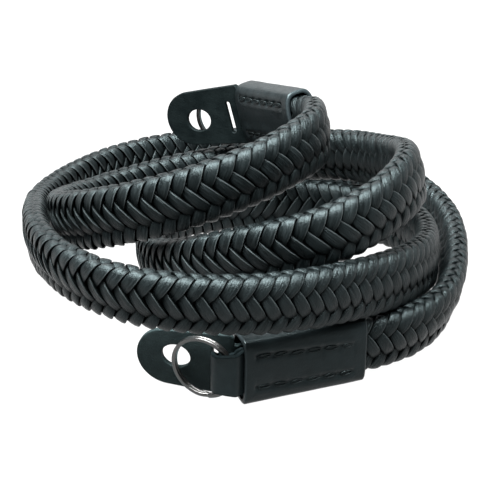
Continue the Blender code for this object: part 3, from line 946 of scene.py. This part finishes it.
def smooth_leather(name, dark, pale, rough, grain, grain_height, gloss):
    """Flat leather: soft clouds, fine grain with pores, and shallow wrinkles."""
    n = Nodes(name)
    clouds = n.noise(n.position(), scale=0.22, detail=3.0)
    fine = n.noise(n.position(), scale=grain, detail=3.0)
    pebbles = n.cells(n.position(), scale=grain * 0.55)
    wrinkles = n.noise(n.position((520.0, 1000.0, 1500.0)), scale=0.45, detail=4.0)
    colour = n.blend(n.span(clouds, 0.35, 0.68), dark, pale)
    # Painted highlight: a sleeve's rims are painted paler
    rim = n.add("ShaderNodeAttribute", attribute_name="rim").outputs["Fac"]
    colour = n.blend(n.sum(rim, 0.5, "MULTIPLY"), colour, RIM_HIGHLIGHT_TONE)
    n.join(colour, n.shader.inputs["Base Color"])
    n.join(n.span(fine, 0.3, 0.7, rough - 0.05, rough + 0.07), n.shader.inputs["Roughness"])
    height = n.sum(n.sum(fine, 0.35, "MULTIPLY"), n.sum(pebbles, 0.35, "MULTIPLY"))
    n.bump(n.sum(height, n.sum(wrinkles, 0.8, "MULTIPLY")), grain_height, 0.0002)
    cut = n.add("ShaderNodeAttribute", attribute_name="cut").outputs["Fac"]
    n.join(n.span(cut, 0.0, 1.0, gloss, CUT_EDGE_GLOSS), n.shader.inputs["Specular IOR Level"])
    n.shader.inputs["Specular Tint"].default_value = SHEEN_TINT
    return n.material


def plain(name, colour, rough, metallic=0.0):
    n = Nodes(name)
    clouds = n.noise(n.position(), scale=2.0, detail=3.0)
    pale = tuple(min(1.0, value * 1.35) for value in colour)
    n.join(n.blend(clouds, colour, pale), n.shader.inputs["Base Color"])
    n.join(n.span(clouds, 0.3, 0.7, rough - 0.04, rough + 0.05), n.shader.inputs["Roughness"])
    n.shader.inputs["Metallic"].default_value = metallic
    n.shader.inputs["Specular IOR Level"].default_value = PLAIN_GLOSS
    n.shader.inputs["Specular Tint"].default_value = SHEEN_TINT
    return n.material


# Stage, light, camera


def lamp(name, where, width, power, colour):
    light = bpy.data.lights.new(name, "AREA")
    light.shape = "RECTANGLE"
    light.size = width
    light.size_y = LAMP_HEIGHT
    light.energy = power
    light.color = colour
    obj = put(name, light)
    obj.location = where
    obj.rotation_euler = (Vector(LAMP_TARGET) - Vector(where)).to_track_quat("-Z", "Y").to_euler()


def build_stage():
    mesh = bpy.data.meshes.new("floor")
    corners = [(-1, -1, 0), (1, -1, 0), (1, 1, 0), (-1, 1, 0)]
    mesh.from_pydata([Vector(corner) * FLOOR_REACH for corner in corners], [], [(0, 1, 2, 3)])
    floor = put("floor", mesh)
    n = Nodes("white_table")
    n.shader.inputs["Base Color"].default_value = FLOOR_TONE
    n.shader.inputs["Roughness"].default_value = 1.0
    n.shader.inputs["Specular IOR Level"].default_value = 0.0
    n.shader.inputs["Emission Color"].default_value = (1.0, 1.0, 1.0, 1.0)
    n.shader.inputs["Emission Strength"].default_value = TABLE_GLOW
    mesh.materials.append(n.material)

    world = bpy.data.worlds.new("studio")
    bpy.context.scene.world = world
    world.use_nodes = True
    tree = world.node_tree
    where = tree.nodes.new("ShaderNodeTexCoord")
    parts = tree.nodes.new("ShaderNodeSeparateXYZ")
    tree.links.new(where.outputs["Generated"], parts.inputs[0])
    ramp = tree.nodes.new("ShaderNodeMapRange")
    ramp.inputs["From Min"].default_value = -1.0
    ramp.inputs["From Max"].default_value = WORLD_BACK_FROM
    ramp.inputs["To Min"].default_value = WORLD_FRONT
    ramp.inputs["To Max"].default_value = WORLD_BACK
    tree.links.new(parts.outputs["Y"], ramp.inputs["Value"])
    tree.links.new(ramp.outputs["Result"], tree.nodes["Background"].inputs["Strength"])
    tree.nodes["Background"].inputs["Color"].default_value = WORLD_TONE
    for row in LAMPS:
        lamp(*row)


def build_camera():
    data = bpy.data.cameras.new("camera")
    data.sensor_width = CAMERA_SENSOR
    data.lens = CAMERA_FOCAL / PICTURE * CAMERA_SENSOR
    data.shift_x = -(CAMERA_MIDDLE[0] - PICTURE / 2) / PICTURE
    data.shift_y = (CAMERA_MIDDLE[1] - PICTURE / 2) / PICTURE
    data.clip_start = 0.01
    camera = put("camera", data)
    camera.location = CAMERA_PLACE
    camera.rotation_euler = (math.radians(90 - CAMERA_DOWN), 0, 0)
    bpy.context.scene.camera = camera
    bpy.context.scene.view_settings.view_transform = "Standard"


def main():
    points, lean, ends, steps = strap_route()
    leather = braid_leather()
    dark = plain("core_leather", (0.004, 0.0045, 0.005), 0.7)
    smooth = {name: smooth_leather(name, *row) for name, row in SMOOTH_LEATHERS.items()}
    thread = plain("waxed_thread", (0.0010, 0.0014, 0.0015), 0.42)
    metal = plain("gunmetal", (0.070, 0.070, 0.069), 0.30, 1.0)
    braid = Braid(points, lean, steps)
    build_braid(braid, leather, dark, steps)
    for name, side, _, tab_bend, ring_bend, flap_bend, ring_start, play, drop in ENDS:
        matrix = ends[name]
        tab_angle = math.radians(tab_bend)
        build_sleeve(name, matrix, smooth["sleeve_leather"], thread, STITCH_ROWS[name])
        build_tab(name, matrix, side, tab_angle, ring_start, play, smooth["tab_leather"])
        build_flap(name, matrix, math.radians(flap_bend), smooth[f"{name}_flap_leather"])
        build_ring(name, matrix, side, tab_angle, math.radians(ring_bend), ring_start, drop, metal)
    build_stage()
    build_camera()


main()
